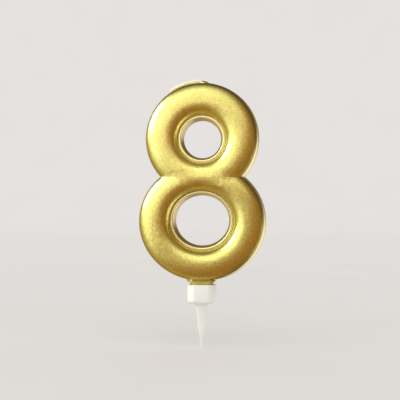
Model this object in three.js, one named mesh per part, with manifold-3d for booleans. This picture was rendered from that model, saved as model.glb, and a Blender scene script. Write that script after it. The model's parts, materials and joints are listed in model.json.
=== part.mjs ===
// Number birthday candle: a wax figure eight under a coat of metallic lacquer, with a braided
// wick and a moulded plastic pick that holds it in a cake.
// Millimetres, +Z up. The figure's front faces -Y, and the origin is on the underside of the
// pick's cup, where the icing meets it.
import * as THREE from "three";
import { mergeVertices } from "three/addons/utils/BufferGeometryUtils.js";
import Module from "manifold-3d";

const wasm = await Module();
wasm.setup();

// The figure eight: two oval rings that run into each other, measured at the back face.
const figure = {
  upper: { halfWidth: 33.9, halfHeight: 33.9, holeHalfWidth: 11.1, holeHalfHeight: 11.1, holeRise: 0 },
  lower: { halfWidth: 38, halfHeight: 35.7, holeHalfWidth: 15.9, holeHalfHeight: 14.9, holeRise: 0.6 },
  ringSpacing: 48.9, // between the rings' centres
  baseGap: 1.6, // from the cup's rim up to the lowest point of the lower ring
  backY: 5.6, // the flat back face
};

// The edge that runs round the outside and round both holes, from the back face to the crown.
const edge = {
  backRound: 0.5,
  draft: 0.6, // how far the side wall leans in on its way to the lip
  holeDraft: 1.9, // the same round the holes, where the mould's cores draw out
  wallHeight: 7.1, // back face to the top of the lip
  lipRound: 0.25,
  lipWidth: 0.65,
  grooveDepth: 0.7,
  grooveWidth: 0.35,
  domeRun: 7.4, // groove to crown, across the stroke
  domeRise: 6.6,
  domePower: 2.2, // 2 is a quarter ellipse, and more makes fuller shoulders
  domeSteps: 5,
};

// The foot under the figure that plugs into the cup.
const tang = {
  halfWidth: 6.6,
  halfDepth: 3.3,
  endTaper: 0.3,
  endRound: 0.5,
  flare: 0.4, // how much wider the foot grows between the cup's rim and the ring
  overlap: 6, // how far it runs up into the ring
};

const coat = { thickness: 0.4, gap: 0.2 };

// The braid comes out of the top of the upper ring and lies over to the left.
const wick = {
  radius: 0.8,
  y: 1,
  clearance: 0.3,
  freeAngle: 33, // degrees of the upper ring that the free end lies along
  layGap: 0.35, // between the lying wick and the ring's side wall
  straight: 3, // how far it runs straight down before it follows the strokes
  sides: 8,
};

// The stretches of the strokes that hold the buried wick, in degrees round each ring.
const buriedRun = { upper: [65, -25], lower: [45, -75], step: 15 };

// The pick: a cup with round ends, and a cross-ribbed spike below it. The cup's inside is the
// tang's outline plus its clearances.
const cup = {
  height: 11.1,
  wall: 1.4,
  endWall: 1.6,
  floor: 1.6,
  baseRound: 2,
  rimChamfer: 0.4,
  endClearance: 0.4,
  sideClearance: 0.7,
  floorClearance: 0.3,
  ribClearance: 0.35, // from the four grip ribs to the tang
  ribRadius: 0.45,
  ribSpacing: 6,
};
const spike = {
  length: 26.6,
  rootHalfWidth: 3.3,
  rootHalfDepth: 2.5,
  rootThickness: 1.5,
  tipHalfWidth: 0.6,
  tipThickness: 0.9,
  pointLength: 2.2,
  pointShare: 0.25, // the very end's share of the section where the point begins
  gussetWidth: 1.1,
  gussetDepth: 0.55,
  gussetLength: 1.8,
};

const roundSteps = 52; // round the outside of a ring
const holeSteps = 36;
const endSteps = 7; // round each end of an obround
const ribSteps = 10;
const baseSteps = 4; // round the cup's bottom edge
const buriedSteps = 48;
const lyingSteps = 10;
const cutMargin = 2; // how far a cutter runs past the face that it opens

const lowerCentreZ = cup.height + figure.baseGap + figure.lower.halfHeight;
const upperCentreZ = lowerCentreZ + figure.ringSpacing;
const grooveHeight = edge.wallHeight - edge.grooveDepth;
const figureDepth = grooveHeight + edge.domeRise;
const coreSkin = coat.thickness + coat.gap;
const tangEnd = cup.floor + cup.floorClearance;
const cupInside = { halfWidth: tang.halfWidth + cup.endClearance, halfDepth: tang.halfDepth + cup.sideClearance };
const cupOutside = { halfWidth: cupInside.halfWidth + cup.endWall, halfDepth: cupInside.halfDepth + cup.wall };

// ---- from three.js geometry to solids and back ----

function solidOf(geometry) {
  const bare = new THREE.BufferGeometry();
  bare.setAttribute("position", geometry.getAttribute("position"));
  bare.setIndex(geometry.index);
  const merged = mergeVertices(bare, 1e-4);
  const corners = merged.index.array;
  const triVerts = [];
  for (let i = 0; i < corners.length; i += 3) {
    const [a, b, c] = corners.slice(i, i + 3);
    // A lathe has flat triangles where its profile meets the axis.
    if (a !== b && b !== c && c !== a) triVerts.push(a, b, c);
  }
  return new wasm.Manifold(
    new wasm.Mesh({
      numProp: 3,
      vertProperties: new Float32Array(merged.attributes.position.array),
      triVerts: new Uint32Array(triVerts),
    }),
  );
}

function geometryOf(solid) {
  const mesh = solid.getMesh();
  const geometry = new THREE.BufferGeometry();
  geometry.setAttribute("position", new THREE.BufferAttribute(mesh.vertProperties, 3));
  geometry.setIndex(new THREE.BufferAttribute(mesh.triVerts, 1));
  geometry.computeVertexNormals();
  return geometry;
}

// A closed skin over matching outlines, each a list of points that runs the same way round.
function loft(outlines) {
  const count = outlines[0].length;
  const positions = outlines.flat().flatMap((p) => [p.x, p.y, p.z]);
  const index = [];
  for (let k = 0; k + 1 < outlines.length; k++) {
    for (let i = 0; i < count; i++) {
      const a = k * count + i;
      const b = k * count + ((i + 1) % count);
      index.push(a, b, b + count, a, b + count, a + count);
    }
  }
  const flat = outlines[0].map((p) => new THREE.Vector2(p.x, p.y));
  const top = (outlines.length - 1) * count;
  for (const [a, b, c] of THREE.ShapeUtils.triangulateShape(flat, [])) {
    index.push(c, b, a, top + a, top + b, top + c);
  }
  const geometry = new THREE.BufferGeometry();
  geometry.setAttribute("position", new THREE.Float32BufferAttribute(positions, 3));
  geometry.setIndex(index);
  return geometry;
}

// ---- the figure ----

// Points [inset, height] from the back face to the crown: inset is measured in from an edge,
// and height forward from the back face. skin is how far inside the outer surface it lies.
function edgeProfile(skin, draft) {
  const points = [[edge.backRound + skin, skin], [skin, edge.backRound + skin]];
  if (skin === 0) {
    points.push(
      [draft, edge.wallHeight - edge.lipRound],
      [draft + edge.lipRound, edge.wallHeight],
      [draft + edge.lipWidth - edge.lipRound, edge.wallHeight],
      [draft + edge.lipWidth, grooveHeight],
    );
  } else {
    points.push([draft + skin, grooveHeight - skin]);
  }
  const domeStart = draft + edge.lipWidth + edge.grooveWidth + skin;
  for (let k = 0; k <= edge.domeSteps; k++) {
    const angle = (k / edge.domeSteps) * (Math.PI / 2);
    const across = 1 - Math.cos(angle) ** (2 / edge.domePower);
    const up = Math.sin(angle) ** (2 / edge.domePower);
    points.push([domeStart + edge.domeRun * across, grooveHeight - skin + edge.domeRise * up]);
  }
  return points;
}

function oval(profile, halfWidth, halfHeight, centreZ, steps) {
  const points = profile.map(([r, height]) => new THREE.Vector2(r, figure.backY - height));
  const lathe = new THREE.LatheGeometry(points, steps);
  lathe.scale(1, 1, halfHeight / halfWidth);
  lathe.translate(0, 0, centreZ);
  return solidOf(lathe);
}

// A ring's outside, filled right across.
function disc(ring, centreZ, skin) {
  const profile = edgeProfile(skin, edge.draft).map(([inset, height]) => [ring.halfWidth - inset, height]);
  const crown = profile.at(-1)[1];
  const closed = [[0, crown], ...profile.reverse(), [0, skin]];
  return oval(closed, ring.halfWidth, ring.halfHeight, centreZ, roundSteps);
}

// What a ring's hole takes away: the opening, its lip and the inner slope of the dome.
function holeCutter(ring, centreZ, skin) {
  const profile = edgeProfile(skin, edge.holeDraft).map(([inset, height]) => [ring.holeHalfWidth + inset, height]);
  const [crownRadius, crown] = profile.at(-1);
  const behind = skin - cutMargin;
  const closed = [
    [0, crown + cutMargin],
    [crownRadius, crown + cutMargin],
    ...profile.reverse(),
    [profile.at(-1)[0], behind],
    [0, behind],
  ];
  return oval(closed, ring.holeHalfWidth, ring.holeHalfHeight, centreZ + ring.holeRise, holeSteps);
}

function obround(halfWidth, halfDepth, z) {
  const straight = halfWidth - halfDepth;
  const shape = new THREE.Shape();
  shape.absarc(straight, 0, halfDepth, -Math.PI / 2, Math.PI / 2);
  shape.absarc(-straight, 0, halfDepth, Math.PI / 2, Math.PI * 1.5);
  return shape.getPoints(endSteps).slice(0, -1).map((p) => new THREE.Vector3(p.x, p.y, z));
}

function tangSolid(skin) {
  const stations = [
    [tangEnd, tang.endTaper + tang.endRound],
    [tangEnd + tang.endRound, tang.endTaper],
    [cup.height, 0],
    [cup.height + figure.baseGap, -tang.flare],
    [cup.height + figure.baseGap + tang.overlap, -tang.flare],
  ];
  return solidOf(
    loft(stations.map(([z, inset]) => obround(tang.halfWidth - inset - skin, tang.halfDepth - inset - skin, z))),
  );
}

function figureSolid(skin) {
  return disc(figure.upper, upperCentreZ, skin)
    .add(disc(figure.lower, lowerCentreZ, skin))
    .add(tangSolid(skin))
    .subtract(holeCutter(figure.upper, upperCentreZ, skin))
    .subtract(holeCutter(figure.lower, lowerCentreZ, skin));
}

// ---- the wick ----

// How far the side wall of the upper ring stands from its centre, at the wick's depth.
const wallShare = (figure.backY - wick.y - edge.backRound) / (edge.wallHeight - edge.lipRound - edge.backRound);
const wallRadius = figure.upper.halfHeight - edge.draft * wallShare;
const layRadius = wallRadius + wick.layGap + wick.radius;
const wickPivotZ = upperCentreZ + layRadius;
const wickExitZ = wickPivotZ - wick.radius - wick.clearance;

function midStroke(ring, centreZ, degrees) {
  const angle = THREE.MathUtils.degToRad(degrees);
  const halfWidth = (ring.halfWidth + ring.holeHalfWidth) / 2;
  const halfHeight = (ring.halfHeight + ring.holeHalfHeight) / 2;
  return new THREE.Vector3(halfWidth * Math.cos(angle), wick.y, centreZ + halfHeight * Math.sin(angle));
}

// The wick's channel runs down the right-hand strokes to the foot of the lower ring.
function channelPath() {
  const points = [
    new THREE.Vector3(0, wick.y, wickExitZ + cutMargin),
    new THREE.Vector3(0, wick.y, wickExitZ - wick.straight),
  ];
  for (let degrees = buriedRun.upper[0]; degrees >= buriedRun.upper[1]; degrees -= buriedRun.step) {
    points.push(midStroke(figure.upper, upperCentreZ, degrees));
  }
  for (let degrees = buriedRun.lower[0]; degrees >= buriedRun.lower[1]; degrees -= buriedRun.step) {
    points.push(midStroke(figure.lower, lowerCentreZ, degrees));
  }
  return new THREE.CatmullRomCurve3(points, false, "centripetal");
}

// The wick fills its channel, from the figure's surface down to its clearance at the end.
class BuriedWick extends THREE.Curve {
  constructor(channel) {
    super();
    this.channel = channel;
    this.from = cutMargin / channel.getLength();
    this.to = 1 - wick.clearance / channel.getLength();
  }

  getPoint(t, target = new THREE.Vector3()) {
    return this.channel.getPointAt(THREE.MathUtils.lerp(this.from, this.to, t), target);
  }
}

function tube(path, radius, steps) {
  const shape = new THREE.Shape();
  shape.absarc(0, 0, radius, 0, Math.PI * 2);
  return solidOf(
    new THREE.ExtrudeGeometry(shape, {
      steps,
      curveSegments: wick.sides / 2,
      bevelEnabled: false,
      extrudePath: path,
    }),
  );
}

// The free end lies along the top of the upper ring, to the left of where it comes out.
class LyingWick extends THREE.Curve {
  getPoint(t, target = new THREE.Vector3()) {
    const angle = THREE.MathUtils.degToRad(wick.freeAngle) * t;
    return target.set(-layRadius * Math.sin(angle), wick.y, upperCentreZ + layRadius * Math.cos(angle));
  }
}

function channelCutter() {
  return tube(channelPath(), wick.radius + wick.clearance, buriedSteps);
}

// ---- the pick ----

function cupSolid() {
  const outside = [];
  for (let k = 0; k <= baseSteps; k++) {
    const angle = (k / baseSteps) * (Math.PI / 2);
    const inset = cup.baseRound * (1 - Math.sin(angle));
    outside.push(
      obround(cupOutside.halfWidth - inset, cupOutside.halfDepth - inset, cup.baseRound * (1 - Math.cos(angle))),
    );
  }
  outside.push(obround(cupOutside.halfWidth, cupOutside.halfDepth, cup.height));
  const inside = [
    [cup.floor, 0],
    [cup.height - cup.rimChamfer, 0],
    [cup.height, cup.rimChamfer],
    [cup.height + cutMargin, cup.rimChamfer],
  ].map(([z, outset]) => obround(cupInside.halfWidth + outset, cupInside.halfDepth + outset, z));
  return solidOf(loft(outside)).subtract(solidOf(loft(inside)));
}

// One of the four ribs in the cup that grip the tang.
function gripRib(x, side) {
  const bottom = cup.floor / 2;
  const top = cup.height - 2 * cup.rimChamfer;
  const rib = new THREE.CylinderGeometry(cup.ribRadius, cup.ribRadius, top - bottom, ribSteps);
  rib.rotateX(Math.PI / 2);
  rib.translate(x, side * (tang.halfDepth + cup.ribClearance + cup.ribRadius), (bottom + top) / 2);
  return solidOf(rib);
}

// The section of two crossed ribs.
function cross(halfWidth, halfDepth, thickness, z) {
  const t = thickness / 2;
  const corners = [
    [halfWidth, -t], [halfWidth, t], [t, t],
    [t, halfDepth], [-t, halfDepth], [-t, t],
    [-halfWidth, t], [-halfWidth, -t], [-t, -t],
    [-t, -halfDepth], [t, -halfDepth], [t, -t],
  ];
  return corners.map(([x, y]) => new THREE.Vector3(x, y, z));
}

function spikeSolid() {
  const { rootHalfWidth, rootHalfDepth, rootThickness, tipHalfWidth, tipThickness, pointShare } = spike;
  const footHalfWidth = rootHalfWidth + spike.gussetWidth;
  const footHalfDepth = rootHalfDepth + spike.gussetDepth;
  return solidOf(
    loft([
      cross(tipHalfWidth * pointShare, tipHalfWidth * pointShare, tipThickness * pointShare, -spike.length),
      cross(tipHalfWidth, tipHalfWidth, tipThickness, -spike.length + spike.pointLength),
      cross(rootHalfWidth, rootHalfDepth, rootThickness, -spike.gussetLength),
      cross(footHalfWidth, footHalfDepth, rootThickness, 0),
      cross(footHalfWidth, footHalfDepth, rootThickness, cup.floor / 2),
    ]),
  );
}

function pickSolid() {
  let solid = cupSolid().add(spikeSolid());
  for (const side of [-1, 1]) {
    for (const x of [-cup.ribSpacing / 2, cup.ribSpacing / 2]) {
      solid = solid.add(gripRib(x, side));
    }
  }
  return solid;
}

// ---- the assembly ----

const gold = new THREE.MeshStandardMaterial({ color: 0xd2b04a, roughness: 0.3, metalness: 1 });
const wax = new THREE.MeshStandardMaterial({ color: 0xf1e6c4, roughness: 0.55, metalness: 0 });
const cotton = new THREE.MeshStandardMaterial({ color: 0xe6d9a8, roughness: 0.85, metalness: 0 });
const whitePlastic = new THREE.MeshStandardMaterial({ color: 0xefece2, roughness: 0.35, metalness: 0 });

function piece(name, solid, material) {
  const mesh = new THREE.Mesh(geometryOf(solid), material);
  mesh.name = name;
  return mesh;
}

// The lacquer is a skin over the wax, open at the end of the tang and round the wick.
function lacquerSolid() {
  const inset = tang.endTaper + tang.endRound + coat.thickness;
  const tangOpening = loft(
    [tangEnd - cutMargin, tangEnd + coat.thickness + tang.endRound].map((z) =>
      obround(tang.halfWidth - inset, tang.halfDepth - inset, z),
    ),
  );
  return figureSolid(0)
    .subtract(figureSolid(coat.thickness))
    .subtract(solidOf(tangOpening))
    .subtract(channelCutter());
}

function waxSolid() {
  return figureSolid(coreSkin).subtract(channelCutter());
}

const candle = new THREE.Group();
candle.add(
  piece("wax_core", waxSolid(), wax),
  piece("gold_coat", lacquerSolid(), gold),
  piece("wick_core", tube(new BuriedWick(channelPath()), wick.radius, buriedSteps), cotton),
  piece("wick_tip", tube(new LyingWick(), wick.radius, lyingSteps), cotton),
  piece("cake_pick", pickSolid(), whitePlastic),
);

export default candle;
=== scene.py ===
import json
import math
import random
import bmesh
import bpy
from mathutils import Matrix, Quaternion, Vector


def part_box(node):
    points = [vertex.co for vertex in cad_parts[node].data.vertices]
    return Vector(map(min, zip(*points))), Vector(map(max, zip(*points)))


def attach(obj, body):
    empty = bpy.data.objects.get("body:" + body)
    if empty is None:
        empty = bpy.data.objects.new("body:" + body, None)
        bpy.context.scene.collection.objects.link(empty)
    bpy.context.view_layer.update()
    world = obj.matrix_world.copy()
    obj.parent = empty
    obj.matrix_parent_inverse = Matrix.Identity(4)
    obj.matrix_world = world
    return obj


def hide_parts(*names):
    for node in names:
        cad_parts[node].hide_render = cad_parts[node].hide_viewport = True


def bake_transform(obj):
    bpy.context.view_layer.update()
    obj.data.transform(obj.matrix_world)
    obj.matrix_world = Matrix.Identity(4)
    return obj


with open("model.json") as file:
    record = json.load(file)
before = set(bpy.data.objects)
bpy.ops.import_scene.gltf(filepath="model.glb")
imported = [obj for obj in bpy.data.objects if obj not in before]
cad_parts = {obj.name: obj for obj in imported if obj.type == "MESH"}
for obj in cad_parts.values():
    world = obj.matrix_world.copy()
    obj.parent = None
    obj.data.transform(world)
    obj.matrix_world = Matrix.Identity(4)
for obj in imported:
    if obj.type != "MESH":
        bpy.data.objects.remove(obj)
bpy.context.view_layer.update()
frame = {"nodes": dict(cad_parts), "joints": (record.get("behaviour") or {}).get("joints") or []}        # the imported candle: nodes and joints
mm = 0.001               # sizes below are in millimetres, the scene is in metres


# small helpers

def selectOnly(*objs):
    bpy.ops.object.select_all(action="DESELECT")
    for obj in objs:
        obj.select_set(True)
    bpy.context.view_layer.objects.active = objs[0]


def startEdit(obj, kind="VERT"):
    selectOnly(obj)
    bpy.ops.object.mode_set(mode="EDIT")
    bpy.ops.mesh.select_mode(type=kind)
    bpy.ops.mesh.select_all(action="DESELECT")


def endEdit():
    bpy.ops.object.mode_set(mode="OBJECT")


def pickVerts(obj, test):
    bpy.ops.mesh.select_mode(type="VERT")
    bpy.ops.mesh.select_all(action="DESELECT")
    editMesh = bmesh.from_edit_mesh(obj.data)
    for vert in editMesh.verts:
        if test(vert.co / mm):
            vert.select_set(True)
    editMesh.select_flush_mode()
    bmesh.update_edit_mesh(obj.data)


def pickFaces(obj, test):
    bpy.ops.mesh.select_mode(type="FACE")
    bpy.ops.mesh.select_all(action="DESELECT")
    editMesh = bmesh.from_edit_mesh(obj.data)
    for face in editMesh.faces:
        if test(face.calc_center_median() / mm, face.normal):
            face.select_set(True)
    editMesh.select_flush_mode()
    bmesh.update_edit_mesh(obj.data)


def pickEdges(obj, test):
    bpy.ops.mesh.select_mode(type="EDGE")
    bpy.ops.mesh.select_all(action="DESELECT")
    editMesh = bmesh.from_edit_mesh(obj.data)
    for edge in editMesh.edges:
        a, b = (vert.co / mm for vert in edge.verts)
        if test(a, b):
            edge.select_set(True)
    editMesh.select_flush_mode()
    bmesh.update_edit_mesh(obj.data)


def applyPlace(obj):
    selectOnly(obj)
    bpy.ops.object.transform_apply(location=True, rotation=True, scale=True)


def applyModifier(obj, kind, **settings):
    selectOnly(obj)
    modifier = obj.modifiers.new(kind.title(), kind)
    for key, value in settings.items():
        setattr(modifier, key, value)
    bpy.ops.object.modifier_apply(modifier=modifier.name)


def cutOrJoin(obj, tool, operation):
    applyModifier(obj, "BOOLEAN", object=tool, operation=operation, solver="EXACT")
    bpy.data.objects.remove(tool)


def joinInto(obj, *others):
    selectOnly(obj, *others)
    bpy.ops.object.join()


def named(name):
    obj = bpy.context.object
    obj.name = name
    obj.data.name = name
    return obj


def smoothShade(obj, degrees=35):
    selectOnly(obj)
    bpy.ops.object.shade_smooth_by_angle(angle=math.radians(degrees))


def extrudeBy(x, y, z):
    bpy.ops.mesh.extrude_region_move(TRANSFORM_OT_translate={"value": (x * mm, y * mm, z * mm)})


def moveBy(x, y, z):
    bpy.ops.transform.translate(value=(x * mm, y * mm, z * mm))


def resizeBy(x, y, z, centre):
    bpy.ops.transform.resize(value=(x, y, z), center_override=Vector(centre) * mm)


def makeObround(name, size, z):
    # a flat outline with round ends, left in edit mode with all of it selected
    bpy.ops.mesh.primitive_circle_add(
        vertices=size["sides"], radius=size["halfDepth"] * mm, fill_type="NGON", location=(0, 0, z * mm)
    )
    obj = named(name)
    applyPlace(obj)
    startEdit(obj)
    reach = size["halfWidth"] - size["halfDepth"]
    for side in (1, -1):
        pickVerts(obj, lambda co: co.x * side > 0.01)
        moveBy(side * reach, 0, 0)
    bpy.ops.mesh.select_all(action="SELECT")
    return obj


# where things are, from the frame

coatLow, coatHigh = (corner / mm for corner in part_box("gold_coat"))
pickLow, pickHigh = (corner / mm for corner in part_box("cake_pick"))
wickLow, wickHigh = (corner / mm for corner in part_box("wick_tip"))
bendJoint = next(joint for joint in frame["joints"] if joint["name"] == "wick_bend")
wickPivot = Vector(bendJoint["pos_m"]) / mm


# the gold figure eight: two rings, each spun from a stroke's section

figure = {
    "backY": coatHigh.y,
    "topZ": coatHigh.z,
    "upperRadius": 33.9,
    "upperHole": 11.1,    # all radii are at the back face
    "lowerHalfWidth": 38.0,
    "lowerHalfHeight": 35.7,
    "lowerHole": 15.9,
    "lowerHoleRise": 0.6,
    "ringSpacing": 48.9,
    "waistZ": 74.65,      # the rings are cut and joined here
    "waistGap": 0.5,
    "backRound": 0.5,
    "draft": 0.6,         # the outer wall leans in this much, the holes' walls more
    "holeDraft": 1.3,
    "wallHeight": 7.1,    # to the front of the holes' lips; the outer wall has no lip
    "wallSteps": 6,
    "holeLipWidth": 1.6,
    "holeLipRound": 0.45,
    "grooveDepth": 0.7,
    "holeGrooveWidth": 0.45,
    "domeRise": 6.6,
    "domePower": 2.25,    # 2 is a quarter ellipse, more is fuller
    "domeSteps": 18,
    "ringSteps": 240,
    # the crease across the waist: reach to the sides, reach up and down, times smoothed
    "creaseSmoothing": ((26.0, 2.4, 14), (18.0, 3.4, 20), (12.0, 5.0, 30)),
    "creaseFrontY": -3.6,
    "coatThickness": 0.2,
    "paleRim": 2.1,       # how far in from the edge the colour turns pale: thin lacquer and a painted reflection
    "paleRimDepth": 2.5,
    "paleLipDepth": 0.5,
    "plainFoot": 11.5,    # the foot and the back have the plain gold
    "plainBack": 0.3,
}
figure["upperZ"] = figure["topZ"] - figure["upperRadius"]
figure["lowerZ"] = figure["upperZ"] - figure["ringSpacing"]


def arcSteps(count):
    return [math.radians(90 * step / count) for step in range(count + 1)]


def edgeSection(size, draft, run, lip=0.0, lipRound=0.0, groove=0.0):
    # one edge of a stroke, as (how far in, how far forward of the back)
    wallTop = size["wallHeight"]
    inner = draft + lip
    grooveFloor = wallTop - size["grooveDepth"]
    r, back = lipRound, size["backRound"]
    points = [(back * (1 - math.sin(turn)), back * (1 - math.cos(turn))) for turn in arcSteps(3)]
    wallEnd = wallTop - r if lip else grooveFloor
    for step in range(1, size["wallSteps"]):   # the leaning side wall
        share = step / size["wallSteps"]
        points.append((draft * share, back + (wallEnd - back) * share))
    if lip:
        for turn in arcSteps(3):
            points.append((draft + r * (1 - math.cos(turn)), wallTop - r * (1 - math.sin(turn))))
        for turn in arcSteps(3):
            points.append((inner - r * (1 - math.sin(turn)), wallTop - r * (1 - math.cos(turn))))
        points.append((inner + groove * 0.3, grooveFloor + size["grooveDepth"] * 0.4))
        points.append((inner + groove * 0.65, grooveFloor + size["grooveDepth"] * 0.1))
    start = inner + groove
    for turn in arcSteps(size["domeSteps"]):
        along = 1 - math.cos(turn) ** (2 / size["domePower"])
        up = math.sin(turn) ** (2 / size["domePower"])
        points.append((start + (run - start) * along, grooveFloor + size["domeRise"] * up))
    return points


def makeRing(name, size, radius, hole, centreZ):
    # the section is drawn point by point, then spun round the hole
    crown = (radius + hole + size["holeDraft"] - size["draft"]) / 2
    edge = edgeSection(size, size["draft"], radius - crown)
    holeEdge = edgeSection(
        size, size["holeDraft"], crown - hole,
        size["holeLipWidth"], size["holeLipRound"], size["holeGrooveWidth"],
    )
    section = [(radius - inset, height) for inset, height in edge]
    section += [(hole + inset, height) for inset, height in reversed(holeEdge[:-1])]
    section.append(section[0])
    places = [Vector((r, size["backY"] - height, centreZ)) for r, height in section]
    bpy.ops.mesh.primitive_plane_add(size=mm, location=(0, 0, 0))
    ring = named(name)
    startEdit(ring)
    bpy.ops.mesh.select_all(action="SELECT")
    bpy.ops.mesh.merge(type="CENTER")
    moveBy(*places[0])
    for here, there in zip(places, places[1:]):
        extrudeBy(*(there - here))
    bpy.ops.mesh.select_all(action="SELECT")
    bpy.ops.mesh.spin(
        steps=size["ringSteps"], angle=math.tau, center=(0, 0, centreZ * mm), axis=(0, 1, 0)
    )
    bpy.ops.mesh.select_all(action="SELECT")
    bpy.ops.mesh.remove_doubles(threshold=0.002 * mm)
    bpy.ops.mesh.normals_make_consistent(inside=False)
    return ring


def cutAtWaist(size, side):
    # keeps what is above the waist (side 1) or below it (side -1)
    bpy.ops.mesh.select_all(action="SELECT")
    cutZ = (size["waistZ"] + side * size["waistGap"] / 2) * mm
    bpy.ops.mesh.bisect(plane_co=(0, 0, cutZ), plane_no=(0, 0, -side), clear_outer=True)
    endEdit()


def raiseHole(obj, size):
    # the lower hole sits a little above the middle of its ring, and the stroke takes up the difference
    startEdit(obj)
    ratio = size["lowerHalfHeight"] / size["lowerHalfWidth"]
    for step in range(8):
        reach = size["lowerHole"] + (step + 0.5) / 8 * (size["lowerHalfWidth"] - size["lowerHole"])
        pickVerts(obj, lambda co: math.hypot(co.x, (co.z - size["lowerZ"]) / ratio) < reach)
        moveBy(0, 0, size["lowerHoleRise"] / 8)


def markThinCoatAndPaintedLight(obj, size):
    # 1 on the rim and the holes' lips: pale where the wax pales the thin lacquer, and a painted reflection of
    # the pale surroundings; 0.5 to 1 on the holes' walls, painted shade that is brown at 0.5
    thinAndPaintedLight = obj.data.attributes.new("thinCoatAndPaintedLight", "FLOAT", "POINT")
    lipFront = size["backY"] - size["wallHeight"]
    holeEdge = size["holeDraft"] + size["holeLipWidth"] + 0.15
    lowerRatio = size["lowerHalfHeight"] / size["lowerHalfWidth"]
    upper = (size["upperZ"], 0.0, 1.0, size["upperRadius"], size["upperHole"])
    lower = (size["lowerZ"], size["lowerHoleRise"], lowerRatio, size["lowerHalfWidth"], size["lowerHole"])
    for index, vert in enumerate(obj.data.vertices):
        co = vert.co / mm
        centreZ, rise, ratio, outside, hole = upper if co.z > size["waistZ"] else lower
        up = co.z - centreZ - rise
        fromEdge = outside - math.hypot(co.x, (co.z - centreZ) / ratio)
        fromHole = math.hypot(co.x, up / ratio) - hole
        pale = 0.0
        if co.y < lipFront + size["paleRimDepth"]:
            pale = min(1.0, max(0.0, size["paleRim"] - fromEdge))
        if fromHole < holeEdge:
            # a pale lip (thin lacquer and painted reflection), and a wall with painted shade, brownest at its
            # upper left where the shade falls
            upLeft = (up - co.x) / math.hypot(up, co.x) / math.sqrt(2)
            pale = 1.0 if co.y < lipFront + size["paleLipDepth"] else 0.75 - 0.25 * upLeft
        if co.z < coatLow.z + size["plainFoot"] or co.y > size["backY"] - size["plainBack"]:
            pale = 0.0
        thinAndPaintedLight.data[index].value = pale


goldCoat = makeRing("gold_coat_lacquer", figure, figure["upperRadius"], figure["upperHole"], figure["upperZ"])
cutAtWaist(figure, 1)
lowerRing = makeRing("lowerRing", figure, figure["lowerHalfWidth"], figure["lowerHole"], figure["lowerZ"])
resizeBy(1, 1, figure["lowerHalfHeight"] / figure["lowerHalfWidth"], (0, 0, figure["lowerZ"]))
cutAtWaist(figure, -1)
raiseHole(lowerRing, figure)
endEdit()
joinInto(goldCoat, lowerRing)
startEdit(goldCoat, "EDGE")
bpy.ops.mesh.select_non_manifold()
bpy.ops.mesh.bridge_edge_loops()
for reach, spread, repeats in figure["creaseSmoothing"]:
    # the crease softens at its ends and fades out towards the middle
    def nearCrease(co):
        inside = abs(co.z - figure["waistZ"]) < spread and abs(co.x) < reach
        return inside and co.y < figure["creaseFrontY"]

    pickVerts(goldCoat, nearCrease)
    bpy.ops.mesh.vertices_smooth(factor=0.5, repeat=repeats, xaxis=False, yaxis=True, zaxis=False)
endEdit()
print("figure eight: rings spun, cut and bridged")


# the foot that plugs into the cup

tang = {
    "halfWidth": 6.3,     # at its end
    "halfDepth": 3.0,
    "sides": 64,
    "endRound": 0.5,
    # height, half width, half depth
    "stages": [
        (10.6, 6.6, 3.3),
        (11.2, 6.65, 3.32),
        (11.7, 6.8, 3.4),
        (12.15, 7.05, 3.55),
        (12.55, 7.45, 3.75),
        (12.9, 8.0, 4.0),
        (13.3, 8.8, 4.3),
        (19.0, 8.8, 4.3),
    ],
}
foot = makeObround("foot", tang, coatLow.z)
lastZ, lastWidth, lastDepth = coatLow.z, tang["halfWidth"], tang["halfDepth"]
for z, halfWidth, halfDepth in tang["stages"]:
    extrudeBy(0, 0, z - lastZ)
    resizeBy(halfWidth / lastWidth, halfDepth / lastDepth, 1, (0, 0, z))
    lastZ, lastWidth, lastDepth = z, halfWidth, halfDepth
pickEdges(foot, lambda a, b: max(a.z, b.z) < coatLow.z + 0.01)
bpy.ops.mesh.bevel(offset=tang["endRound"] * mm, segments=3)
bpy.ops.mesh.select_all(action="SELECT")
bpy.ops.mesh.normals_make_consistent(inside=False)
endEdit()
cutOrJoin(goldCoat, foot, "UNION")


# the mound of lacquered wax round the wick, and the hole that the wick comes out of

wickHole = {
    "radius": 1.0,
    "depth": 5.0,
    "moundX": 0.9,        # to the right, on the outside of the wick's bend
    "moundFoot": 3.1,
    "moundTop": 0.9,
    "moundRise": 1.0,
    "moundRound": 0.7,
    "moundRoot": 1.5,     # how deep it goes into the ring
    "moundCutX": -0.4,    # it slopes away on the left, under the lying wick
}
exitZ = wickPivot.z - 1.1     # the ring's side wall, under the lying wick
bpy.ops.mesh.primitive_cone_add(
    vertices=48, radius1=wickHole["moundFoot"] * mm, radius2=wickHole["moundTop"] * mm,
    depth=wickHole["moundRise"] * mm,
    location=(wickHole["moundX"] * mm, wickPivot.y * mm, (exitZ + wickHole["moundRise"] / 2) * mm),
)
mound = named("mound")
applyPlace(mound)
startEdit(mound)
pickEdges(mound, lambda a, b: min(a.z, b.z) > exitZ + wickHole["moundRise"] - 0.01)
bpy.ops.mesh.bevel(offset=wickHole["moundRound"] * mm, segments=4)
pickFaces(mound, lambda centre, normal: normal.z < -0.9)
extrudeBy(0, 0, -wickHole["moundRoot"])
bpy.ops.mesh.select_all(action="SELECT")
bpy.ops.mesh.bisect(
    plane_co=(wickHole["moundCutX"] * mm, 0, exitZ * mm), plane_no=(-0.8, 0, 0.6),
    use_fill=True, clear_outer=True,
)
bpy.ops.mesh.select_all(action="SELECT")
bpy.ops.mesh.normals_make_consistent(inside=False)
endEdit()
cutOrJoin(goldCoat, mound, "UNION")
bpy.ops.mesh.primitive_cylinder_add(
    vertices=40, radius=wickHole["radius"] * mm, depth=2 * wickHole["depth"] * mm,
    location=(0, wickPivot.y * mm, exitZ * mm),
)
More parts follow.
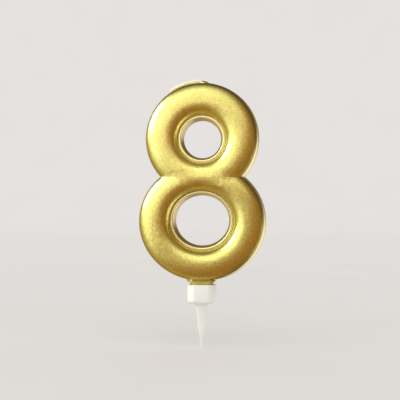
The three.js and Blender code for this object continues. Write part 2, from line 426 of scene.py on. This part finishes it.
drill = named("drill")
applyPlace(drill)
cutOrJoin(goldCoat, drill, "DIFFERENCE")
startEdit(goldCoat, "FACE")


def insideHole(centre, normal):
    fromAxis = math.hypot(centre.x, centre.y - wickPivot.y)
    return fromAxis < wickHole["radius"] + 0.02 and centre.z > exitZ - wickHole["depth"] - 0.1


pickFaces(goldCoat, insideHole)
bpy.ops.mesh.delete(type="FACE")
pickFaces(goldCoat, lambda centre, normal: centre.z < coatLow.z + 0.01)
bpy.ops.mesh.delete(type="FACE")
endEdit()
# paints the pale rims and lips (thin lacquer and painted reflection) and the painted shade on the holes'
# walls
markThinCoatAndPaintedLight(goldCoat, figure)
applyModifier(goldCoat, "SOLIDIFY", thickness=figure["coatThickness"] * mm, offset=-1, use_even_offset=True)
smoothShade(goldCoat, 38)
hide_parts("gold_coat")
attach(goldCoat, "candle")
print("gold coat: foot, mound and wick hole done")


# the cake pick: cup, grip ribs and a cross-ribbed spike

pick = {
    "halfWidth": pickHigh.x,
    "halfDepth": pickHigh.y,
    "height": pickHigh.z,
    "sides": 96,
    "wall": 1.4,
    "floor": 1.6,
    "baseRound": 2.0,
    "rimRound": 0.35,
    "floorRound": 0.5,
    "ribRadius": 0.45,
    "ribX": 3.0,
    "ribY": 4.1,
    "ribDrop": 1.0,       # the ribs stop this far under the rim
    "ribRound": 0.3,
    # the spike: height, half width, half depth, thickness
    "stages": [
        (0.0, 4.4, 3.05, 1.5),
        (-1.8, 3.3, 2.5, 1.5),
        (-12.0, 2.2, 1.75, 1.25),
        (-24.4, 0.75, 0.7, 0.9),
        (pickLow.z, 0.45, 0.45, 0.5),
    ],
    "edgeRound": 0.18,
}
cakePick = makeObround("cake_pick_moulding", pick, 0)
extrudeBy(0, 0, pick["height"])
bpy.ops.mesh.inset(thickness=pick["wall"] * mm)
extrudeBy(0, 0, pick["floor"] - pick["height"])
bpy.ops.mesh.select_all(action="SELECT")
bpy.ops.mesh.normals_make_consistent(inside=False)


def outside(co):
    # how far a point is outside the cup's middle wall line
    straight = pick["halfWidth"] - pick["halfDepth"]
    return math.hypot(max(abs(co.x) - straight, 0), co.y) - (pick["halfDepth"] - pick["wall"] / 2)


pickEdges(cakePick, lambda a, b: max(a.z, b.z) < 0.01)
bpy.ops.mesh.bevel(offset=pick["baseRound"] * mm, segments=7)
pickEdges(cakePick, lambda a, b: min(a.z, b.z) > pick["height"] - 0.01 and outside(a) * outside(b) > 0)
bpy.ops.mesh.bevel(offset=pick["rimRound"] * mm, segments=3)
pickEdges(cakePick, lambda a, b: abs(a.z - pick["floor"]) + abs(b.z - pick["floor"]) < 0.01)
bpy.ops.mesh.bevel(offset=pick["floorRound"] * mm, segments=3)
endEdit()

for sideX in (1, -1):
    for sideY in (1, -1):
        ribTop, ribFoot = pick["height"] - pick["ribDrop"], pick["floor"] / 2
        bpy.ops.mesh.primitive_cylinder_add(
            vertices=20, radius=pick["ribRadius"] * mm, depth=(ribTop - ribFoot) * mm,
            location=(sideX * pick["ribX"] * mm, sideY * pick["ribY"] * mm, (ribTop + ribFoot) / 2 * mm),
        )
        rib = named("rib")
        applyPlace(rib)
        startEdit(rib)
        pickEdges(rib, lambda a, b: min(a.z, b.z) > ribTop - 0.01)
        bpy.ops.mesh.bevel(offset=pick["ribRound"] * mm, segments=3)
        endEdit()
        cutOrJoin(cakePick, rib, "UNION")


def makeSpike(name, size):
    # a plus-shaped section, drawn down from the cup's floor to the point, stage by stage
    topZ, wide, deep, thick = size["stages"][0]
    bpy.ops.mesh.primitive_cube_add(size=mm, location=(0, 0, (topZ + size["floor"] / 2) / 2 * mm))
    spike = named(name)
    spike.scale = (thick, thick, size["floor"] / 2 - topZ)
    applyPlace(spike)
    startEdit(spike, "FACE")

    def sideOfCore(centre, normal):
        return normal.x * x + normal.y * y > 0.9 and centre.x * x + centre.y * y < thick / 2 + 0.01

    for x, y, half in ((1, 0, wide), (-1, 0, wide), (0, 1, deep), (0, -1, deep)):
        pickFaces(spike, sideOfCore)
        extrudeBy(x * (half - thick / 2), y * (half - thick / 2), 0)
    for z, newWide, newDeep, newThick in size["stages"][1:]:
        pickFaces(spike, lambda centre, normal: normal.z < -0.9 and centre.z < topZ + 0.01)
        extrudeBy(0, 0, z - topZ)
        ratio = newThick / thick
        resizeBy(ratio, ratio, 1, (0, 0, z))
        growWide, growDeep = newWide - wide * ratio, newDeep - deep * ratio
        for x, y, grow in ((1, 0, growWide), (-1, 0, growWide), (0, 1, growDeep), (0, -1, growDeep)):
            pickVerts(spike, lambda co: co.z < z + 0.01 and co.x * x + co.y * y > newThick / 2 + 0.01)
            moveBy(x * grow, y * grow, 0)
        topZ, wide, deep, thick = z, newWide, newDeep, newThick

    def runsDown(a, b):
        # an edge along an arm, not one on the core
        onArm = max(abs(a.x), abs(a.y)) > min(abs(a.x), abs(a.y)) + 0.1
        return abs(a.z - b.z) > 0.3 and max(a.xy.length, b.xy.length) > 0.48 and onArm

    pickEdges(spike, runsDown)
    bpy.ops.mesh.bevel(offset=size["edgeRound"] * mm, segments=3)
    endEdit()
    return spike


cutOrJoin(cakePick, makeSpike("spike", pick), "UNION")
smoothShade(cakePick, 35)
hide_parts("cake_pick")
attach(cakePick, "holder")
print("cake pick: cup, ribs and spike joined")


# the wick: a braid of six strands that comes up out of the wax and lies over to the left

wick = {
    "rootZ": coatHigh.z - 3.8,
    "elbow": 1.3,
    "layDegrees": 33.0,
    "sink": 0.2,          # lies this much closer to the ring than its hinge
    "sinkLength": 4.0,
    "strandRadius": 0.285,
    "braidRadius": 0.45,
    "weave": 0.12,
    "pitch": 4.6,         # one turn of a strand round the braid
    "coreRadius": 0.3,
    "step": 0.16,
    "fibres": 30,
    "fibreRadius": 0.045,
    "fibreLength": (0.6, 1.7),
}
layRadius = wickPivot.z - figure["upperZ"]


def wickLine(size):
    # points and directions along the middle of the wick, a step apart
    line = []
    corner = wickPivot.z - size["elbow"]
    z = size["rootZ"]
    while z < corner:
        line.append((Vector((0, wickPivot.y, z)), Vector((0, 0, 1))))
        z += size["step"]
    turns = round(size["elbow"] * math.pi / 2 / size["step"])
    for k in range(turns):
        turn = math.radians(90) * k / turns
        x, z = size["elbow"] * (math.cos(turn) - 1), corner + size["elbow"] * math.sin(turn)
        line.append((Vector((x, wickPivot.y, z)), Vector((-math.sin(turn), 0, math.cos(turn)))))
    firstTurn = math.asin(size["elbow"] / layRadius)
    turn = firstTurn
    while turn < math.radians(size["layDegrees"]):
        along = (turn - firstTurn) * layRadius
        radius = layRadius - size["sink"] * min(1, along / size["sinkLength"])
        place = Vector((-radius * math.sin(turn), wickPivot.y, figure["upperZ"] + radius * math.cos(turn)))
        line.append((place, Vector((-math.cos(turn), 0, -math.sin(turn)))))
        turn += size["step"] / layRadius
    return line


def drawStrand(points, radius, resolution=2):
    curve = bpy.data.curves.new("strand", "CURVE")
    curve.dimensions = "3D"
    curve.bevel_depth = radius * mm
    curve.bevel_resolution = resolution
    curve.use_fill_caps = True
    spline = curve.splines.new("POLY")
    spline.points.add(len(points) - 1)
    for target, point in zip(spline.points, points):
        target.co = (*(point * mm), 1)
    strand = bpy.data.objects.new("strand", curve)
    bpy.context.scene.collection.objects.link(strand)
    selectOnly(strand)
    bpy.ops.object.convert(target="MESH")
    return bpy.context.object


middle = wickLine(wick)
across = Vector((0, 1, 0))
strands = [drawStrand([place for place, along in middle], wick["coreRadius"])]
for way in (1, -1):
    for k in range(3):
        points = []
        for index, (place, along) in enumerate(middle):
            wound = index * wick["step"] * math.tau / wick["pitch"]
            turn = way * wound + math.tau * k / 3
            out = wick["braidRadius"] + way * wick["weave"] * math.cos(3 * wound)
            points.append(place + out * (math.cos(turn) * across.cross(along) + math.sin(turn) * across))
        strands.append(drawStrand(points, wick["strandRadius"]))

dice = random.Random(8)
tipPlace, tipAlong = middle[-1]
for k in range(wick["fibres"]):
    turn, out = dice.uniform(0, math.tau), dice.uniform(0.1, 0.55)
    side = math.cos(turn) * across.cross(tipAlong) + math.sin(turn) * across
    length, spread = dice.uniform(*wick["fibreLength"]), dice.uniform(-0.1, 0.35)
    points = []
    for step in range(7):
        share = step / 6
        bend = spread * share * share
        points.append(tipPlace + side * (out * (1 - 0.2 * share) + bend) + tipAlong * (length * share - 0.4))
    strands.append(drawStrand(points, wick["fibreRadius"], 0))

braid = strands[0]
joinInto(*strands)
braid.name = braid.data.name = "wick_braid"
smoothShade(braid, 60)
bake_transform(braid)
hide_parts("wick_tip")
print("wick: strands braided, end frayed")


# materials

def newMaterial(name):
    material = bpy.data.materials.new(name)
    material.use_nodes = True
    tree = material.node_tree
    return material, tree, tree.nodes["Principled BSDF"]


def addNode(tree, kind, settings=None, **inputs):
    node = tree.nodes.new(kind)
    for key, value in (settings or {}).items():
        setattr(node, key, value)
    for key, value in inputs.items():   # in0, in1 and so on, or the socket's own name
        numbered = key.startswith("in") and key[2:].isdigit()
        socket = node.inputs[int(key[2:])] if numbered else node.inputs[key]
        if isinstance(value, bpy.types.NodeSocket):
            tree.links.new(value, socket)
        else:
            socket.default_value = value
    return node


def ramp(tree, value, stops, interpolation="LINEAR"):
    node = addNode(tree, "ShaderNodeValToRGB", in0=value)
    node.color_ramp.interpolation = interpolation
    elements = node.color_ramp.elements
    while len(elements) < len(stops):
        elements.new(0.5)
    for element, (place, colour) in zip(elements, stops):
        element.position = place
        element.color = (*colour, 1) if len(colour) == 3 else colour
    return node.outputs["Color"]


def grey(value):
    return (value, value, value)


def mixColour(tree, share, a, b, blendType="MIX"):
    node = tree.nodes.new("ShaderNodeMix")
    node.data_type = "RGBA"
    node.blend_type = blendType
    for socket, value in zip((node.inputs[0], node.inputs[6], node.inputs[7]), (share, a, b)):
        if isinstance(value, bpy.types.NodeSocket):
            tree.links.new(value, socket)
        else:
            socket.default_value = (*value, 1) if isinstance(value, tuple) and len(value) == 3 else value
    return node.outputs[2]


def addVector(tree, operation, a, b):
    return addNode(tree, "ShaderNodeVectorMath", {"operation": operation}, in0=a, in1=b).outputs[0]


def addBump(tree, height, strength, distance, under=None):
    # distance is in metres; under is the bump that this one lies on
    more = {"Normal": under} if under else {}
    return addNode(
        tree, "ShaderNodeBump", Strength=strength, Distance=distance, Height=height, **more
    ).outputs[0]


def makeGoldLacquer():
    material, tree, shader = newMaterial("gold_lacquer")
    look = {
        "gold": (0.89, 0.83, 0.33),
        "deepGold": (0.74, 0.61, 0.15),
        "paleGoldAndReflection": (0.95, 0.87, 0.54),
        "wallBrown": (0.33, 0.25, 0.12),
        "flakesPerMetre": 1900,
        "flakeTilt": 0.05,
        "roughness": 0.36,
        "coatWeight": 0.6,
        "coatRoughness": 0.3,
    }
    place = addNode(tree, "ShaderNodeTexCoord").outputs["Object"]
    flakes = addNode(tree, "ShaderNodeTexVoronoi", Vector=place, Scale=look["flakesPerMetre"])
    bigFlakes = addNode(tree, "ShaderNodeTexVoronoi", Vector=place, Scale=look["flakesPerMetre"] * 0.55)
    slow = addNode(tree, "ShaderNodeTexNoise", Vector=place, Scale=60.0, Detail=3.0).outputs["Fac"]
    fine = addNode(tree, "ShaderNodeTexNoise", Vector=place, Scale=1500.0, Detail=2.0).outputs["Fac"]
    # each flake lies at its own small tilt
    tilt = addVector(tree, "ADD", flakes.outputs["Color"], bigFlakes.outputs["Color"])
    centred = addVector(tree, "SUBTRACT", tilt, grey(1.0))
    scaled = addNode(
        tree, "ShaderNodeVectorMath", {"operation": "SCALE"}, in0=centred, Scale=look["flakeTilt"]
    ).outputs[0]
    wave = addBump(tree, slow, 0.015, 0.0002)
    peel = addBump(tree, fine, 0.06, 0.00004, wave)
    leaning = addVector(tree, "ADD", peel, scaled)
    normal = addNode(tree, "ShaderNodeVectorMath", {"operation": "NORMALIZE"}, in0=leaning)
    tree.links.new(normal.outputs[0], shader.inputs["Normal"])
    # colour: flake by flake, with slow drifts
    sparkle = ramp(tree, flakes.outputs["Color"], [(0.15, look["deepGold"]), (0.65, look["gold"])])
    drift = ramp(tree, slow, [(0.3, grey(0.93)), (0.7, grey(1.0))])
    colour = mixColour(tree, 1.0, sparkle, drift, "MULTIPLY")
    # paler rims and lips, from thin lacquer and a painted reflection; hole walls browned with painted shade
    thinAndPaintedLight = addNode(tree, "ShaderNodeAttribute", {"attribute_name": "thinCoatAndPaintedLight"}).outputs["Fac"]
    edgeColour = ramp(tree, thinAndPaintedLight, [(0.5, look["wallBrown"]), (1.0, look["paleGoldAndReflection"])])
    edgeShare = addNode(tree, "ShaderNodeMapRange", Value=thinAndPaintedLight, in1=0.0, in2=0.5).outputs[0]
    patchy = ramp(tree, fine, [(0.3, grey(0.75)), (0.7, grey(1.0))])
    share = addNode(tree, "ShaderNodeMath", {"operation": "MULTIPLY"}, in0=edgeShare, in1=patchy)
    painted = mixColour(tree, share.outputs[0], colour, edgeColour)
    tree.links.new(painted, shader.inputs["Base Color"])
    smooth, coarse = look["roughness"] - 0.04, look["roughness"] + 0.04
    tree.links.new(ramp(tree, fine, [(0.3, grey(smooth)), (0.7, grey(coarse))]), shader.inputs["Roughness"])
    shader.inputs["Metallic"].default_value = 1.0
    shader.inputs["Coat Weight"].default_value = look["coatWeight"]
    shader.inputs["Coat Roughness"].default_value = look["coatRoughness"]
    return material


def makeWax():
    material, tree, shader = newMaterial("ivory_wax")
    place = addNode(tree, "ShaderNodeTexCoord").outputs["Object"]
    cloud = addNode(tree, "ShaderNodeTexNoise", Vector=place, Scale=160.0, Detail=4.0)
    grain = addNode(tree, "ShaderNodeTexNoise", Vector=place, Scale=2200.0, Detail=2.0)
    colour = ramp(tree, cloud.outputs["Fac"], [(0.3, (0.84, 0.74, 0.52)), (0.7, (0.92, 0.86, 0.68))])
    tree.links.new(colour, shader.inputs["Base Color"])
    tree.links.new(addBump(tree, grain.outputs["Fac"], 0.3, 0.0001), shader.inputs["Normal"])
    shader.inputs["Roughness"].default_value = 0.45
    shader.inputs["Subsurface Weight"].default_value = 0.4
    shader.inputs["Subsurface Scale"].default_value = 0.003
    shader.inputs["Subsurface Radius"].default_value = (1.0, 0.7, 0.45)
    return material


def makeWickCotton():
    material, tree, shader = newMaterial("wick_cotton")
    place = addNode(tree, "ShaderNodeTexCoord").outputs["Object"]
    stain = addNode(tree, "ShaderNodeTexNoise", Vector=place, Scale=420.0, Detail=3.0)
    threads = addNode(tree, "ShaderNodeTexNoise", Vector=place, Scale=9000.0, Detail=3.0)
    colour = ramp(tree, stain.outputs["Fac"], [(0.35, (0.93, 0.86, 0.60)), (0.65, (0.86, 0.74, 0.40))])
    shade = ramp(tree, threads.outputs["Fac"], [(0.3, grey(0.82)), (0.65, grey(1.0))])
    tree.links.new(mixColour(tree, 1.0, colour, shade, "MULTIPLY"), shader.inputs["Base Color"])
    tree.links.new(addBump(tree, threads.outputs["Fac"], 0.4, 0.00005), shader.inputs["Normal"])
    shader.inputs["Roughness"].default_value = 0.7
    shader.inputs["Sheen Weight"].default_value = 0.3
    return material


def makePickPlastic():
    material, tree, shader = newMaterial("pick_plastic")
    place = addNode(tree, "ShaderNodeTexCoord").outputs["Object"]
    cloud = addNode(tree, "ShaderNodeTexNoise", Vector=place, Scale=120.0, Detail=3.0)
    grain = addNode(tree, "ShaderNodeTexNoise", Vector=place, Scale=2600.0, Detail=2.0)
    colour = ramp(tree, cloud.outputs["Fac"], [(0.3, (0.72, 0.71, 0.67)), (0.7, (0.77, 0.765, 0.73))])
    # the mould's parting line runs round the ends, where y is zero
    parts = addNode(tree, "ShaderNodeSeparateXYZ", Vector=place)
    away = addNode(tree, "ShaderNodeMath", {"operation": "ABSOLUTE"}, in0=parts.outputs["Y"])
    line = addNode(tree, "ShaderNodeMath", {"operation": "LESS_THAN"}, in0=away.outputs[0], in1=0.00006)
    lineBump = addBump(tree, line.outputs[0], 0.5, 0.00004)
    bump = addBump(tree, grain.outputs["Fac"], 0.22, 0.00005, lineBump)
    rough = ramp(tree, cloud.outputs["Fac"], [(0.3, grey(0.34)), (0.7, grey(0.44))])
    tree.links.new(colour, shader.inputs["Base Color"])
    tree.links.new(bump, shader.inputs["Normal"])
    tree.links.new(rough, shader.inputs["Roughness"])
    shader.inputs["Subsurface Weight"].default_value = 0.35
    shader.inputs["Subsurface Scale"].default_value = 0.002
    shader.inputs["Subsurface Radius"].default_value = (1.0, 0.9, 0.8)
    return material


def makeStudioPaint():
    material, tree, shader = newMaterial("studio_paint")
    place = addNode(tree, "ShaderNodeTexCoord").outputs["Object"]
    soft = addNode(tree, "ShaderNodeTexNoise", Vector=place, Scale=9.0, Detail=2.0)
    far = addNode(tree, "ShaderNodeVectorMath", {"operation": "LENGTH"}, in0=place).outputs["Value"]
    spread = addNode(tree, "ShaderNodeMapRange", Value=far, in1=0.1, in2=1.1)
    tone = ramp(tree, spread.outputs[0], [(0.0, (0.93, 0.915, 0.90)), (1.0, (0.96, 0.945, 0.93))])
    cloud = ramp(tree, soft.outputs["Fac"], [(0.3, grey(0.98)), (0.7, grey(1.0))])
    tree.links.new(mixColour(tree, 1.0, tone, cloud, "MULTIPLY"), shader.inputs["Base Color"])
    shader.inputs["Roughness"].default_value = 0.9
    return material


def paint(obj, material):
    obj.data.materials.clear()
    obj.data.materials.append(material)


cotton = makeWickCotton()
paint(goldCoat, makeGoldLacquer())
paint(cakePick, makePickPlastic())
paint(braid, cotton)
paint(frame["nodes"]["wax_core"], makeWax())
paint(frame["nodes"]["wick_core"], cotton)
print("materials: five finishes made")


# studio: a pale floor that curves up all round, soft lights, and the camera

studio = {
    "floorZ": pickLow.z,
    "floorRadius": 1600.0,
    "bendRadius": 500.0,
    "wallHeight": 1500.0,
    "sides": 96,
}
bpy.ops.mesh.primitive_circle_add(
    vertices=studio["sides"], radius=studio["floorRadius"] * mm, fill_type="NGON",
    location=(0, 0, studio["floorZ"] * mm),
)
floor = named("studio_floor")
applyPlace(floor)
startEdit(floor, "EDGE")
pickEdges(floor, lambda a, b: True)
bend, lastRadius, lastZ = studio["bendRadius"], studio["floorRadius"], studio["floorZ"]
for turn in arcSteps(12)[1:]:
    radius = studio["floorRadius"] + bend * math.sin(turn)
    z = studio["floorZ"] + bend * (1 - math.cos(turn))
    extrudeBy(0, 0, z - lastZ)
    resizeBy(radius / lastRadius, radius / lastRadius, 1, (0, 0, z))
    lastRadius, lastZ = radius, z
extrudeBy(0, 0, studio["wallHeight"])
endEdit()
smoothShade(floor, 40)
paint(floor, makeStudioPaint())
floor.visible_glossy = False
floor.visible_diffuse = False
floor.visible_shadow = False


def addLight(name, place, size, watts, colour=(1, 1, 1), target=(0, 0, 75), roll=0):
    light = bpy.data.lights.new(name, "AREA")
    light.shape = "RECTANGLE"
    light.size, light.size_y = size[0] * mm, size[1] * mm
    light.energy = watts
    light.color = colour
    lamp = bpy.data.objects.new(name, light)
    bpy.context.scene.collection.objects.link(lamp)
    lamp.location = Vector(place) * mm
    aim = (Vector(target) - Vector(place)).to_track_quat("-Z", "Y")
    lamp.rotation_euler = (aim @ Quaternion((0, 0, 1), math.radians(roll))).to_euler()
    lamp.visible_camera = False
    return lamp


lamps = [
    addLight("key", (-500, -120, 345), (290, 290), 2.6, (1.0, 0.99, 0.93)),
    addLight("frontPanel", (-140, -230, 190), (620, 330), 0.5, (0.98, 0.99, 0.90), (-120, 0, 168), 32),
    addLight("rightEdge", (430, 80, -120), (210, 330), 0.15, (1.0, 0.93, 0.80)),
]

# the lamps light the candle only, so that the floor keeps an even tone
unlit = bpy.data.collections.new("unlit")
unlit.objects.link(floor)
for lamp in lamps:
    lamp.light_linking.receiver_collection = unlit
unlit.collection_objects[0].light_linking.link_state = "EXCLUDE"

world = bpy.data.worlds.new("studio")
bpy.context.scene.world = world
world.use_nodes = True
tree = world.node_tree
background = tree.nodes["Background"]
# what gold surfaces mirror in each direction, and the even walls that light everything else
room = {
    "frontLow": (0.32, 0.145, 0.012),
    "frontHigh": (0.80, 0.86, 0.62),
    "highSide": (-0.75, 0.0, 0.66),    # the front is palest towards here
    "beside": (0.10, 0.055, 0.012),
    "besideLow": (0.42, 0.30, 0.10),
    "lowLeft": (-0.8, 0.0, -0.6),
    "behind": (0.66, 0.56, 0.38),
    "behindHigh": (0.22, 0.15, 0.05),
    "card": (1.25, 1.15, 0.95),        # a pale card behind, low on the right
    "cardSide": (0.62, 0.70, -0.36),
    "walls": (0.83, 0.815, 0.805),
}


def rangeOf(value, low, high):
    return addNode(tree, "ShaderNodeMapRange", Value=value, in1=low, in2=high).outputs[0]


def towards(direction):
    return addNode(
        tree, "ShaderNodeVectorMath", {"operation": "DOT_PRODUCT"}, in0=heading, in1=direction
    ).outputs["Value"]


heading = addNode(tree, "ShaderNodeTexCoord").outputs["Generated"]
headingParts = addNode(tree, "ShaderNodeSeparateXYZ", Vector=heading).outputs
frontShade = rangeOf(towards(room["highSide"]), -0.6, 0.6)
front = ramp(tree, frontShade, [(0.45, room["frontLow"]), (0.95, room["frontHigh"])])
beside = mixColour(tree, rangeOf(towards(room["lowLeft"]), 0.1, 0.7), room["beside"], room["besideLow"])
behindShade = rangeOf(headingParts["Z"], -0.12, 0.16)
behind = ramp(tree, behindShade, [(0.0, room["behind"]), (1.0, room["behindHigh"])])
seen = mixColour(tree, rangeOf(headingParts["Y"], -0.55, -0.05), front, beside)
seen = mixColour(tree, rangeOf(headingParts["Y"], 0.72, 0.88), seen, behind)
seen = mixColour(tree, rangeOf(towards(room["cardSide"]), 0.85, 0.94), seen, room["card"])
isGlossy = addNode(tree, "ShaderNodeLightPath").outputs["Is Glossy Ray"]
tree.links.new(mixColour(tree, isGlossy, room["walls"], seen), background.inputs["Color"])
bpy.context.scene.view_settings.view_transform = "Standard"

lens = {"distance": 560.0, "azimuth": 5.0, "focal": 85.0, "target": (-1.1, 0.0, 61.2)}
bpy.ops.object.camera_add()
camera = bpy.context.object
camera.name = "camera"
azimuth = math.radians(lens["azimuth"])
back = Vector((math.sin(azimuth), -math.cos(azimuth), 0))
camera.location = (Vector(lens["target"]) + back * lens["distance"]) * mm
camera.rotation_euler = (-back).to_track_quat("-Z", "Y").to_euler()
camera.data.lens = lens["focal"]
camera.data.clip_start = 0.01
bpy.context.scene.camera = camera
print("studio: floor, lights and camera set")
